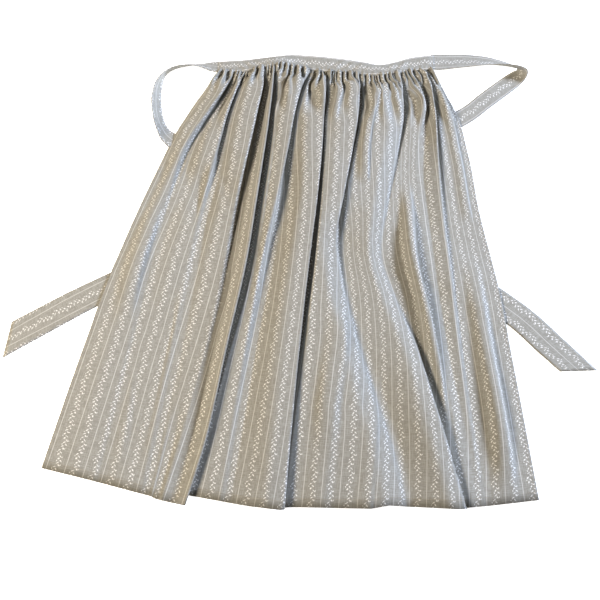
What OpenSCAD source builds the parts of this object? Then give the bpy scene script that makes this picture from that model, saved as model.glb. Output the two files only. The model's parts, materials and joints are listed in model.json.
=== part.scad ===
// Gathered half apron laid out flat, face up, with its two ties looped under the skirt.
// X runs across the apron, Y from the hem to the waistband, Z up from the table.
// The origin is on the table, under the middle of the seam where the skirt meets the waistband.

/* [Waistband] */
// Length of the waistband between its two tie seams
band_length = 454; // [440:2:456]
// Finished width of the folded waistband
band_width = 36; // [34:1:40]
// Thickness of the waistband with the gathers caught inside
band_thickness = 5.5; // [5:0.5:6]
// Thickness of one pressed wall of the waistband
band_wall = 1; // [0.8:0.1:1.2]
// Depth of the slot that holds the top of the skirt
slot_depth = 12; // [8:1:16]

/* [Gathers] */
// Number of small gathers along the seam
gather_count = 42; // [30:2:54]
// Height of the small gathers beside the seam
gather_height = 8.6; // [6:0.2:9]
// Thickness of the cloth in the gathers
gather_wall = 1.2; // [1:0.1:1.6]

/* [Skirt] */
// Length of the skirt below the gathers at its left side
skirt_left = 783; // [700:1:800]
// Length of the skirt below the gathers at its right side
skirt_right = 830; // [740:1:850]
// Extra length at the middle of the hem
hem_bow = 42; // [20:1:60]
// How far the left side spreads out from the waist to the hem
spread_left = 244; // [200:1:260]
// How far the right side spreads out from the waist to the hem
spread_right = 101; // [80:1:120]
// Number of broad folds across the skirt
fold_count = 11; // [7:1:13]
// Height of the broad folds below the waist
fold_height = 13; // [8:0.5:16]
// Thickness of the skirt cloth with its drape
cloth = 1.2; // [1:0.1:1.5]

/* [Hems] */
// Width of the turned bottom hem
hem_width = 18; // [12:1:24]
// Width of the narrow side hems
side_hem_width = 8; // [6:1:10]
// Thickness of the turned layers of a hem
hem_thickness = 1.2; // [1:0.1:1.2]

/* [Ties] */
// Thickness of a tie, which is a strip folded double
tie_thickness = 1.4; // [1.2:0.1:1.4]
// Thickness of the end of a tie, pleated where it is sewn into the waistband
root_height = 5.5; // [4:0.5:5.5]
// Height of the loops where the tie stands on its edge
loop_stand = 30; // [20:1:32]

/* [Hidden] */

cloth_colour = [0.70, 0.66, 0.60];
fold_colour = [0.66, 0.62, 0.56];
thread_colour = [0.88, 0.86, 0.82];

band_half = band_length / 2;
fold_line = -22;        // Y of the straight line that the skirt turns about
skirt_gap = 0.4;        // clearance between the gathers and the skirt below them
gap = 0.1;              // clearance between layers of one body
layer = 0.15;           // clearance round the heading inside the slot
thread = 0.5;           // width of a row of stitches
thread_lift = 0.4;      // height of a row of stitches
waist_left = -242;      // X of the skirt's left side at the fold line
waist_right = 235;      // X of the skirt's right side at the fold line
seam_inset = 3;         // from a waistband end to its tie seam

// How the waistband lies: its middle line sways a little, given as [x, y]
band_sway = [[-227, 15], [-155, 20], [-75, 30], [20, 15], [110, 5], [180, 17], [227, 24]];

// Outlines of the tie stretches in plan
left_root = [[-227.3, 33], [-231.5, 33], [-248, -3], [-227.3, -3]];
left_run = [[-312.5, -141], [213, -410], [364.6, -526], [325.4, -560], [187, -450], [-330, -179]];
left_tail = [[365.6, -527], [469, -640], [402, -642], [326.4, -561]];
right_root = [[227.3, 42], [228.8, 42], [239.5, 6], [227.3, 6]];
right_run = [[270.5, -90], [282, -128], [-436.1, -527], [-463.9, -483]];
right_tail = [[-464.9, -483.6], [-575, -549], [-581, -616], [-437, -527.6]];

// The two edges of each looped stretch, as [x, y, share of the loops' height]. A loop leaves
// the waistband flat, stands up on its outer edge as it turns back, and lies down again.
left_out = [[[-233.5, 32, 0.06], [-262, 31, 0], [-290, 25, 0], [-318, 13, 0], [-337, 3, 0]],
            [[-249.8, -1, 0.06], [-270, -4, 0.2], [-296, 1, 0.7], [-317, 5, 0.98], [-335, 0, 1]]];
left_back = [[[-341, 0, 0], [-354, -14, 0], [-364, -45, 0], [-361, -92, 0], [-350, -135, 0],
              [-334.5, -182, 0]],
             [[-339, -3, 1], [-346, -18, 0.97], [-341, -48, 0.75], [-331, -92, 0.6],
              [-326, -122, 0.5], [-315.5, -141, 0]]];
right_out = [[[230.5, 46, 0.06], [285, 48, 0], [331, 45, 0], [369, 35, 0], [397, 19, 0]],
             [[242, 9, 0.06], [284, 13, 0.2], [327, 18, 0.4], [361, 19, 0.62], [390, 11, 0.88]]];
right_back = [[[405, 12, 0], [413, -3, 0], [407, -18, 0], [382, -41, 0], [335, -84, 0],
               [284.8, -128, 0]],
              [[398, 7, 0.9], [399, -4, 0.7], [387, -6, 0.35], [360, -22, 0.12], [317, -56, 0.03],
               [273.2, -91, 0]]];

// The right tie passes over the left one here, under the skirt
cross_at = [-62, -294];
cross_half = 45;        // half length of the raised stretch
cross_ramp = 85;        // half length with its ramps
run_start = [277, -109];
run_end = [-450, -505];
tie_reach = 24;         // half the widest stretch of a tie under the skirt
under_flat = 42;        // how far the skirt's lift stays level beyond a tie
under_fall = 40;        // how far it then takes to come down
tie_room = 0.6;         // room between a tie and the skirt over it

// The grid of the skirt: columns across and rows from the fold line to the hem
columns = 68;
rows = 24;

function smooth(t) = let (c = min(1, max(0, t))) c * c * (3 - 2 * c);
function mix(a, b, t) = a + (b - a) * t;

// Height of a curve given by [x, y] points, with a smooth step between neighbours
function along(points, x, i = 0) =
    x <= points[i][0] ? points[i][1]
    : i == len(points) - 1 ? points[i][1]
    : x <= points[i + 1][0]
        ? mix(points[i][1], points[i + 1][1],
              smooth((x - points[i][0]) / (points[i + 1][0] - points[i][0])))
    : along(points, x, i + 1);

// Y of the waistband's lower edge, raised by d
function band_low(x, d = 0) = along(band_sway, x) - band_width / 2 + d;

// A strip that follows the waistband's lower edge, from d0 to d1 above it
module along_band(x0, x1, d0, d1, steps = 40) {
    xs = [for (i = [0:steps]) mix(x0, x1, i / steps)];
    polygon(concat([for (x = xs) [x, band_low(x, d0)]],
                   [for (i = [steps:-1:0]) [xs[i], band_low(xs[i], d1)]]));
}

// Distance in plan from point p to the stretch from a to b
function off_line(p, a, b) =
    let (ab = b - a, t = min(1, max(0, (p - a) * ab / (ab * ab)))) norm(p - a - ab * t);

// How far the skirt is lifted over the ties at plan point p
function lift(p) =
    let (over_left = min(off_line(p, [-321, -160], [200, -430]), off_line(p, [200, -430], [345, -543])),
         over_right = off_line(p, run_start, run_end),
         one = tie_thickness + tie_room,
         two = 2 * tie_thickness + tie_room + 3 * gap,
         nearest = min(over_left, over_right),
         single = one * smooth(1 - (nearest - tie_reach - under_flat) / under_fall),
         double = two * smooth(1 - (norm(p - cross_at) - cross_ramp - under_fall) / cross_ramp))
    max(single, double);

// Plan position of the skirt at u across, 0 to 1, and v down from the fold line, 0 to 1
function skirt_width(v) = waist_right + spread_right * pow(v, 0.52)
                          - waist_left + spread_left * pow(v, 0.70);
function skirt_x(u, v) = mix(waist_left - spread_left * pow(v, 0.70),
                             waist_right + spread_right * pow(v, 0.52), u);
function skirt_y(u, v) = fold_line - skirt_gap
                         - v * (mix(skirt_left, skirt_right, u) + hem_bow * 4 * u * (1 - u));
function plan(u, v) = [skirt_x(u, v), skirt_y(u, v)];

// Broad folds: low at the fold line, full a little below it, and shallow at the hem
function fold_share(v) = mix(0.45, 1, smooth(v / 0.12)) * mix(1, 0.3, smooth((v - 0.3) / 0.7));
function ripple(u, v) = fold_height * fold_share(v) * (1 - cos(360 * fold_count * u)) / 2;
function skirt_under(u, v) = lift(plan(u, v)) + hem_thickness + gap;
function skirt_top(u, v) = skirt_under(u, v) + cloth + ripple(u, v);

hem_rows = 1 - hem_width / skirt_right;
function row_v(j) = j == rows ? 1 : hem_rows * j / (rows - 1);
function edge_u(v) = side_hem_width / skirt_width(v);
function column_u(i, v) =
    i == 0 ? 0 : i == columns ? 1 : mix(edge_u(v), 1 - edge_u(v), (i - 1) / (columns - 2));

function under_point(i, j) =
    let (v = row_v(j), u = column_u(i, v)) [skirt_x(u, v), skirt_y(u, v), skirt_under(u, v)];
function top_point(i, j) =
    let (v = row_v(j), u = column_u(i, v)) [skirt_x(u, v), skirt_y(u, v), skirt_top(u, v)];

// A closed sheet over columns i0 to i1 and rows 0 to j1, from two lists of points
module sheet(lower, upper, across, down) {
    n = across + 1;
    half = n * (down + 1);
    function at(i, j) = j * n + i;
    quads = [for (j = [0:down - 1]) for (i = [0:across - 1])
             [at(i, j), at(i + 1, j), at(i + 1, j + 1), at(i, j + 1)]];
    rim = concat([for (i = [0:across - 1]) [at(i, 0), at(i + 1, 0)]],
                 [for (j = [0:down - 1]) [at(across, j), at(across, j + 1)]],
                 [for (i = [across:-1:1]) [at(i, down), at(i - 1, down)]],
                 [for (j = [down:-1:1]) [at(0, j), at(0, j - 1)]]);
    polyhedron(points = concat(lower, upper),
               faces = concat([for (q = quads) [q[0], q[1], q[2]]],
                              [for (q = quads) [q[0], q[2], q[3]]],
                              [for (q = quads) [q[2] + half, q[1] + half, q[0] + half]],
                              [for (q = quads) [q[3] + half, q[2] + half, q[0] + half]],
                              [for (e = rim) [e[1], e[0], e[0] + half]],
                              [for (e = rim) [e[1], e[0] + half, e[1] + half]]));
}

// A thin bar laid along a path of [x, y, z] points, as a row of stitches
module stitch_row(path) {
    last = len(path) - 1;
    function ahead(i) = let (d = path[min(i + 1, last)] - path[max(i - 1, 0)],
                             w = [-d[1], d[0], 0]) w / norm(w) * thread / 2;
    low = [for (i = [0:last]) each [path[i] + ahead(i), path[i] - ahead(i)]];
    sheet(low, [for (p = low) p + [0, 0, thread_lift]], 1, last);
}

module slab(outline, height) linear_extrude(height) polygon(outline);

// A point on a smooth curve through the given points, s counts points from the first
function curve(points, s) =
    let (last = len(points) - 1, k = min(floor(s), last - 1), t = s - k,
         a = points[max(k - 1, 0)], b = points[k], c = points[k + 1],
         d = points[min(k + 2, last)])
    b + t * ((c - a) + t * ((2 * a - 5 * b + 4 * c - d) + t * (3 * b - 3 * c + d - a))) / 2;

// A looped stretch of a tie between its edges, the second edge on the left of its travel
module ribbon(right_edge, left_edge, across = 4, steps = 5) {
    count = (len(right_edge) - 1) * steps;
    rest = tie_thickness / 2 + gap;
    function edge(e, j) = let (p = curve(e, j / steps))
        [p[0], p[1], rest + max(0, p[2]) * (loop_stand - 2 * rest)];
    function spot(i, j) = mix(edge(right_edge, j), edge(left_edge, j), i / across);
    function face(i, j) =
        let (n = cross(spot(i, min(j + 1, count)) - spot(i, max(j - 1, 0)),
                       edge(left_edge, j) - edge(right_edge, j)))
        n / norm(n) * tie_thickness / 2;
    sheet([for (j = [0:count]) for (i = [0:across]) spot(i, j) - face(i, j)],
          [for (j = [0:count]) for (i = [0:across]) spot(i, j) + face(i, j)], across, count);
}

// Folded cloth strip, closed at its top and ends, with a slot along its lower edge
module waistband() {
    color(cloth_colour) difference() {
        linear_extrude(band_thickness) along_band(-band_half, band_half, 0, band_width);
        translate([0, 0, band_wall]) linear_extrude(band_thickness - 2 * band_wall)
            along_band(-band_half + seam_inset, band_half - seam_inset, -1, slot_depth);
    }
}

module waistband_topstitching() {
    inset = seam_inset + 2;
    color(thread_colour) translate([0, 0, band_thickness]) linear_extrude(thread_lift)
        along_band(-band_half + inset, band_half - inset, 2.2, 2.2 + thread);
}

// The gathered top of the skirt: pressed flat inside the slot and pleated below it
module gathered_heading() {
    inset = seam_inset + 1;
    pressed = band_thickness - 2 * band_wall - thread_lift - 3 * layer;
    pitch = (waist_right - waist_left) / gather_count;
    low = 0.3;
    crest = gather_height - gather_wall;
    zigzag = [for (i = [0:2 * gather_count])
              [waist_left + i * pitch / 2, low + (i % 2) * (crest - low)]];
    color(fold_colour) {
        translate([0, 0, band_wall + layer]) linear_extrude(pressed)
            along_band(-band_half + inset, band_half - inset, -1.5, slot_depth - 1);
        intersection() {
            translate([0, band_width, 0]) rotate([90, 0, 0])
                linear_extrude(band_width - fold_line)
                    polygon(concat(zigzag, [for (i = [2 * gather_count:-1:0])
                                            zigzag[i] + [0, gather_wall]]));
            linear_extrude(gather_height) difference() {
                polygon([[waist_left + 2, fold_line], [waist_right - 2, fold_line],
                         [band_half - inset, band_width], [-band_half + inset, band_width]]);
                along_band(-2 * band_half, 2 * band_half, -layer, 2 * band_width);
            }
        }
    }
}

// Two rows of running stitches that draw the heading up, inside the slot
module gathering_threads() {
    inset = seam_inset + 4;
    color(thread_colour)
        translate([0, 0, band_thickness - band_wall - layer - thread_lift])
            for (d = [3.5, 7.5]) linear_extrude(thread_lift)
                along_band(-band_half + inset, band_half - inset, d, d + thread);
}

// Stitches that hold a tie in an end of the waistband, side is -1 or 1
module tie_seam(side) {
    x = side * (band_half - seam_inset);
    mid = along(band_sway, side * band_half);
    color(thread_colour) translate([x, mid, band_thickness + thread_lift / 2])
        cube([thread, band_width - 5, thread_lift], center = true);
}
module left_tie_seam() tie_seam(-1);
module right_tie_seam() tie_seam(1);

module left_tie_root() color(cloth_colour) slab(left_root, root_height);
module right_tie_root() color(cloth_colour) slab(right_root, root_height);
module left_tie_outgoing() color(cloth_colour) ribbon(left_out[0], left_out[1]);
module right_tie_outgoing() color(cloth_colour) ribbon(right_out[1], right_out[0]);
module left_tie_return() color(cloth_colour) ribbon(left_back[0], left_back[1]);
module right_tie_return() color(cloth_colour) ribbon(right_back[1], right_back[0]);
module left_tie_tail() color(cloth_colour) slab(left_tail, tie_thickness);
module right_tie_tail() color(cloth_colour) slab(right_tail, tie_thickness);
module left_tie_run() color(cloth_colour) slab(left_run, tie_thickness);

// The right tie's stretch under the skirt, raised in a low hump over the left tie
module right_tie_run() {
    way = run_end - run_start;
    hump = norm(cross_at - run_start);
    top = tie_thickness + 3 * gap;
    ends = 60;
    side = [[-ends, 0], [hump - cross_ramp, 0], [hump - cross_half, top],
            [hump + cross_half, top], [hump + cross_ramp, 0], [norm(way) + ends, 0]];
    color(cloth_colour) intersection() {
        slab(right_run, 4 * tie_thickness);
        translate(run_start) rotate(atan2(way[1], way[0])) rotate([90, 0, 0])
            linear_extrude(3 * band_width, center = true)
                polygon(concat(side, [for (i = [len(side) - 1:-1:0])
                                      side[i] + [0, tie_thickness]]));
    }
}

module skirt_panel() {
    color(cloth_colour)
        sheet([for (j = [0:rows]) for (i = [0:columns]) under_point(i, j)],
              [for (j = [0:rows]) for (i = [0:columns]) top_point(i, j)], columns, rows);
}

// Turned layers under the bottom edge of the skirt
module bottom_hem() {
    steps = 24;
    function hem_point(k, v) = plan(mix(0.001, 0.999, k / steps), v);
    color(fold_colour)
        slab(concat([for (k = [0:steps]) hem_point(k, 1)],
                    [for (k = [steps:-1:0]) hem_point(k, hem_rows + 0.001)]), hem_thickness);
}

// Turned layers under one side of the skirt, from column i to column i + 1
module side_hem(i) {
    under = [for (j = [0:rows - 1]) each [under_point(i, j), under_point(i + 1, j)]];
    color(fold_colour)
        sheet([for (p = under) p - [0, 0, hem_thickness + gap]],
              [for (p = under) p - [0, 0, gap]], 1, rows - 1);
}
module left_side_hem() side_hem(0);
module right_side_hem() side_hem(columns - 1);

module bottom_hem_stitching() {
    color(thread_colour)
        stitch_row([for (i = [2:columns - 2]) top_point(i, rows - 1) + [0, 0, gap]]);
}

module side_hem_stitching() {
    color(thread_colour) for (i = [1, columns - 1])
        stitch_row([for (j = [0:rows - 1]) top_point(i, j) + [0, 0, 3 * gap]]);
}

waistband();
waistband_topstitching();
gathered_heading();
gathering_threads();
left_tie_seam();
right_tie_seam();
left_tie_root();
right_tie_root();
left_tie_run();
right_tie_run();
skirt_panel();
bottom_hem();
left_side_hem();
right_side_hem();
bottom_hem_stitching();
side_hem_stitching();
left_tie_outgoing();
left_tie_return();
left_tie_tail();
right_tie_outgoing();
right_tie_return();
right_tie_tail();
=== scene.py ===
"""A gathered half apron laid out flat, face up, with its two ties looped under the skirt.

X runs across the apron, Y from the hem up to the waistband and Z up from the table. The origin is
on the table, under the middle of the seam where the skirt meets the waistband. Everything is in
metres.
"""
from __future__ import annotations

import json
import logging
import math
import sys
from dataclasses import dataclass, field
from enum import Enum

import bpy
import numpy as np
from mathutils import Matrix, Vector


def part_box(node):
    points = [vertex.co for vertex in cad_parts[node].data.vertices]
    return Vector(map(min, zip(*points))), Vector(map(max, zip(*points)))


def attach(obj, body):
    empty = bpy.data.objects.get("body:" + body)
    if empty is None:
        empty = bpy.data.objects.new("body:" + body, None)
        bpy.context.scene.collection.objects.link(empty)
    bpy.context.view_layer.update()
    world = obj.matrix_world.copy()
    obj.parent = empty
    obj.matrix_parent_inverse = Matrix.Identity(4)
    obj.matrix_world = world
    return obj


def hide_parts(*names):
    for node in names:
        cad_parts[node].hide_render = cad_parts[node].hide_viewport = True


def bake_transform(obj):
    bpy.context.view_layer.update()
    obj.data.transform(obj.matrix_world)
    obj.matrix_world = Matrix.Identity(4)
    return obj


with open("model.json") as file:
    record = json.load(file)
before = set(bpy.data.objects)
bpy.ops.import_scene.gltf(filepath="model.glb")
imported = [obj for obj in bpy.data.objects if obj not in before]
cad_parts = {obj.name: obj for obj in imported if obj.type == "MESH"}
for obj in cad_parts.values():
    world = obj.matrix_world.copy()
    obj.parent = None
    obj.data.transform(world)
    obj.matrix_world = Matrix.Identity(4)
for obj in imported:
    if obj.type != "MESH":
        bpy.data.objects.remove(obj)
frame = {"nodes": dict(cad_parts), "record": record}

log = logging.getLogger("apron")
MM = 0.001
REPEAT = 0.030  # one woven stripe repeat: a thin line, then a vine, then the next line
VINE_WAVE = 33.0  # length of the stem's wave, in millimetres
VINE_SWING = 2.1  # how far the stem swings to each side, in millimetres
# Rows of leaves: side, distance from the stem, step, slant in radians, half width and half length
LEAVES = ((1, 2.1, 7.4, 0.80, 0.92, 2.3), (-1, 2.1, 7.4, -0.80, 0.92, 2.3),
          (1, 4.6, 14.8, -0.4, 0.7, 1.2), (-1, 4.6, 14.8, 0.4, 0.7, 1.2))


class Hold(Enum):
    """How a piece of cloth is held."""

    GATHERED = "gathered"
    FOLDED = "folded"
    LAID = "laid"


# ---------------------------------------------------------------- curves and grids


def ease(t: np.ndarray) -> np.ndarray:
    """Smooth step: 0 below 0, 1 above 1, and 3t^2 - 2t^3 between."""
    c = np.clip(t, 0.0, 1.0)
    return c * c * (3.0 - 2.0 * c)


def bell(t: np.ndarray) -> np.ndarray:
    """A smooth bump, 1 at t = 0 and 0 from t = -1 and t = 1 outwards."""
    c = np.clip(np.abs(t), 0.0, 1.0)
    return (1.0 - c * c) ** 2


def through(at: list[float], values: list, t: np.ndarray) -> np.ndarray:
    """A smooth curve through given values, by cubic pieces whose slopes are weighted means.

    Args:
        at: the increasing places of the values.
        values: one number or one point for each place.
        t: where the curve is wanted.

    Returns:
        The curve at t, with one more axis when the values are points.
    """
    x = np.asarray(at, float)
    y = np.asarray(values, float)
    flat = y.ndim == 1
    y = y.reshape(len(x), -1)
    h = np.diff(x)[:, None]
    d = np.diff(y, axis=0) / h
    slope = np.empty_like(y)
    slope[0], slope[-1] = d[0], d[-1]
    if len(x) > 2:
        slope[1:-1] = (d[:-1] * h[1:] + d[1:] * h[:-1]) / (h[1:] + h[:-1])
    t = np.clip(np.asarray(t, float), x[0], x[-1])
    k = np.clip(np.searchsorted(x, t, side="right") - 1, 0, len(x) - 2)
    w = ((t - x[k]) / (x[k + 1] - x[k]))[..., None]
    hk = (x[k + 1] - x[k])[..., None]
    out = ((2 * w**3 - 3 * w**2 + 1) * y[k] + (w**3 - 2 * w**2 + w) * hk * slope[k]
           + (3 * w**2 - 2 * w**3) * y[k + 1] + (w**3 - w**2) * hk * slope[k + 1])
    return out[..., 0] if flat else out


def unit(way: np.ndarray) -> np.ndarray:
    """Vectors along the last axis, brought to length 1."""
    return way / np.linalg.norm(way, axis=-1, keepdims=True)


def running(steps: np.ndarray) -> np.ndarray:
    """The running sum of the steps along the last axis, with a 0 before them."""
    return np.concatenate([np.zeros((*steps.shape[:-1], 1)), np.cumsum(steps, axis=-1)], axis=-1)


def along_path(path: np.ndarray) -> np.ndarray:
    """The distance along a path at each of its points."""
    return running(np.linalg.norm(np.diff(path, axis=0), axis=1))


def taken(table: np.ndarray, index: np.ndarray) -> np.ndarray:
    """Entries of each row of a table at that row's indices."""
    return np.take_along_axis(table, index, axis=1)


def new_piece(name: str, mesh: bpy.types.Mesh) -> bpy.types.Object:
    """Shade a mesh smooth and put it in the scene."""
    mesh.polygons.foreach_set("use_smooth", np.ones(len(mesh.polygons), bool))
    mesh.update()
    piece = bpy.data.objects.new(name, mesh)
    bpy.context.scene.collection.objects.link(piece)
    return piece


def grid_mesh(name: str, points: np.ndarray, cloth: np.ndarray,
              ring: bool = False) -> bpy.types.Object:
    """Make a sheet or a tube from a grid of points, with the cloth's coordinates as its UV map.

    Args:
        name: the piece's name.
        points: the grid, rows by columns by 3. Rows go along, columns across to the left.
        cloth: the place of each grid point on the flat cloth, in metres, rows by columns by 2.
        ring: whether the columns close on themselves, as a tube does.

    Returns:
        The new object, smooth shaded.
    """
    rows, cols = points.shape[:2]
    index = np.arange(rows * cols).reshape(rows, cols)
    right = np.roll(index, -1, axis=1) if ring else index
    last = cols if ring else cols - 1
    a = index[:-1, :last]
    b = (right if ring else index[:, 1:])[:-1, :last]
    c = (right if ring else index[:, 1:])[1:, :last]
    d = index[1:, :last]
    quads = np.stack([a, d, c, b], axis=-1).reshape(-1, 4)
    faces = quads.tolist()
    if ring:
        faces.append(index[0].tolist())
        faces.append(index[-1, ::-1].tolist())
    mesh = bpy.data.meshes.new(name)
    mesh.from_pydata(points.reshape(-1, 3).tolist(), [], faces)
    corner = np.empty(len(mesh.loops), np.int64)
    mesh.loops.foreach_get("vertex_index", corner)
    uv = cloth.reshape(-1, 2)[corner]
    if ring:
        per = len(quads) * 4
        wide = uv[:per].reshape(-1, 4, 2)
        jump = wide[..., 0].max(axis=1) - wide[..., 0].min(axis=1) > 0.02
        top = cloth[..., 0].max() + (cloth[0, 1, 0] - cloth[0, 0, 0])
        fix = jump[:, None] & (wide[..., 0] < top / 2)
        wide[..., 0] = np.where(fix, wide[..., 0] + top, wide[..., 0])
        uv[:per] = wide.reshape(-1, 2)
    layer = mesh.uv_layers.new(name="cloth")
    layer.data.foreach_set("uv", uv.astype(np.float32).ravel())
    return new_piece(name, mesh)


def thicken(piece: bpy.types.Object, thickness: float, offset: float = 0.0) -> None:
    """Give a sheet its cloth thickness with a Solidify modifier."""
    wall = piece.modifiers.new("thickness", "SOLIDIFY")
    wall.thickness = thickness
    wall.offset = offset
    wall.use_even_offset = False


def stitch_mesh(name: str, places: np.ndarray, ways: np.ndarray, ups: np.ndarray,
                length: float, width: float) -> bpy.types.Object:
    """Make a row of small stitches, each a six-sided bead pinched at both ends.

    Every stitch is the same rounded bar: rings of six points whose radius grows from a third at its
    ends to the full one at its middle, carried to its place along its own directions.

    Args:
        name: the piece's name.
        places: the middle of each stitch.
        ways: the unit direction of each stitch.
        ups: the unit normal of the cloth under each stitch.
        length: the length of a stitch.
        width: its thickness.

    Returns:
        The new object.
    """
    turns = np.linspace(0, 2 * math.pi, 6, endpoint=False)
    stations = np.array([-0.5, -0.36, 0.0, 0.36, 0.5])
    swell = np.array([0.35, 0.85, 1.0, 0.85, 0.35])
    sides = unit(np.cross(ups, ways))
    ring = (stations[:, None, None] * length * ways[:, None, None, :]
            + swell[:, None, None] * width / 2
            * (np.cos(turns)[:, None] * sides[:, None, None, :]
               + np.sin(turns)[:, None] * ups[:, None, None, :]))
    points = (places[:, None, None, :] + ring).reshape(-1, 3)
    one = np.arange(30).reshape(5, 6)
    nxt = np.roll(one, -1, axis=1)
    quads = np.stack([one[:-1], nxt[:-1], nxt[1:], one[1:]], axis=-1).reshape(-1, 4)
    caps = [one[0, ::-1].tolist(), one[-1].tolist()]
    starts = np.arange(len(places)) * 30
    faces = (quads[None] + starts[:, None, None]).reshape(-1, 4).tolist()
    for cap in caps:
        faces += (np.array(cap)[None] + starts[:, None]).tolist()
    mesh = bpy.data.meshes.new(name)
    mesh.from_pydata(points.tolist(), [], faces)
    return new_piece(name, mesh)


def stitches_along(name: str, path: np.ndarray, ups: np.ndarray, pitch: float,
                   width: float) -> bpy.types.Object:
    """Lay stitches at an even pitch along a path that is given by many points.

    Args:
        name: the piece's name.
        path: the points of the path.
        ups: the cloth's normal at each point.
        pitch: the distance from one stitch to the next.
        width: the thread's thickness.

    Returns:
        The new object.
    """
    run = along_path(path)
    count = max(2, int(run[-1] / pitch))
    at = (np.arange(count) + 0.5) * run[-1] / count

    def read(values: np.ndarray, where: np.ndarray) -> np.ndarray:
        """Values given at the path's points, read at distances along it."""
        return np.stack([np.interp(where, run, values[:, i]) for i in range(3)], axis=1)

    way = unit(read(path, at + pitch * 0.3) - read(path, at - pitch * 0.3))
    up = read(ups, at)
    up = unit(up - way * np.sum(up * way, axis=1, keepdims=True))
    return stitch_mesh(name, read(path, at) + up * width * 0.25, way, up, pitch * 0.74, width)


# ---------------------------------------------------------------- finishes


class Nodes:
    """Short ways to place and join shader nodes in one tree."""

    def __init__(self, tree: bpy.types.NodeTree) -> None:
        """Keep the tree that the nodes go into."""
        self.tree = tree

    def add(self, kind: str, **settings: object) -> bpy.types.Node:
        """Place a node and set its properties."""
        node = self.tree.nodes.new(kind)
        for key, value in settings.items():
            setattr(node, key, value)
        return node

    def put(self, value: object, socket: bpy.types.NodeSocket) -> None:
        """Join an output to a socket, or set the socket to a plain value."""
        if isinstance(value, bpy.types.NodeSocket):
            self.tree.links.new(value, socket)
        else:
            socket.default_value = value

    def maths(self, operation: str, *values: object) -> bpy.types.NodeSocket:
        """A Math node on up to three values or outputs."""
        node = self.add("ShaderNodeMath", operation=operation)
        for i, value in enumerate(values):
            self.put(value, node.inputs[i])
        return node.outputs[0]

    def ramp(self, value: object, low: float, high: float, to_low: float = 0.0,
             to_high: float = 1.0) -> bpy.types.NodeSocket:
        """Map a value smoothly from low..high to to_low..to_high."""
        node = self.add("ShaderNodeMapRange", interpolation_type="SMOOTHSTEP")
        for i, item in enumerate((value, low, high, to_low, to_high)):
            self.put(item, node.inputs[i])
        return node.outputs[0]

    def blend(self, share: object, first: object, second: object) -> bpy.types.NodeSocket:
        """A colour between two others."""
        node = self.add("ShaderNodeMix", data_type="RGBA")
        self.put(share, node.inputs[0])
        self.put(first, node.inputs[6])
        self.put(second, node.inputs[7])
        return node.outputs[2]


def new_group(name: str, inputs: dict[str, tuple[str, object]],
              outputs: dict[str, str]) -> tuple[bpy.types.NodeTree, Nodes, object, object]:
    """Make an empty shader node group with named sockets.

    Args:
        name: the group's name.
        inputs: the type and first value of each input.
        outputs: the type of each output.

    Returns:
        The group, its node helper, its input node and its output node.
    """
    group = bpy.data.node_groups.new(name, "ShaderNodeTree")
    for key, (kind, value) in inputs.items():
        socket = group.interface.new_socket(key, in_out="INPUT", socket_type=kind)
        if value is not None:
            socket.default_value = value
    for key, kind in outputs.items():
        group.interface.new_socket(key, in_out="OUTPUT", socket_type=kind)
    nodes = Nodes(group)
    return group, nodes, nodes.add("NodeGroupInput"), nodes.add("NodeGroupOutput")


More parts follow.
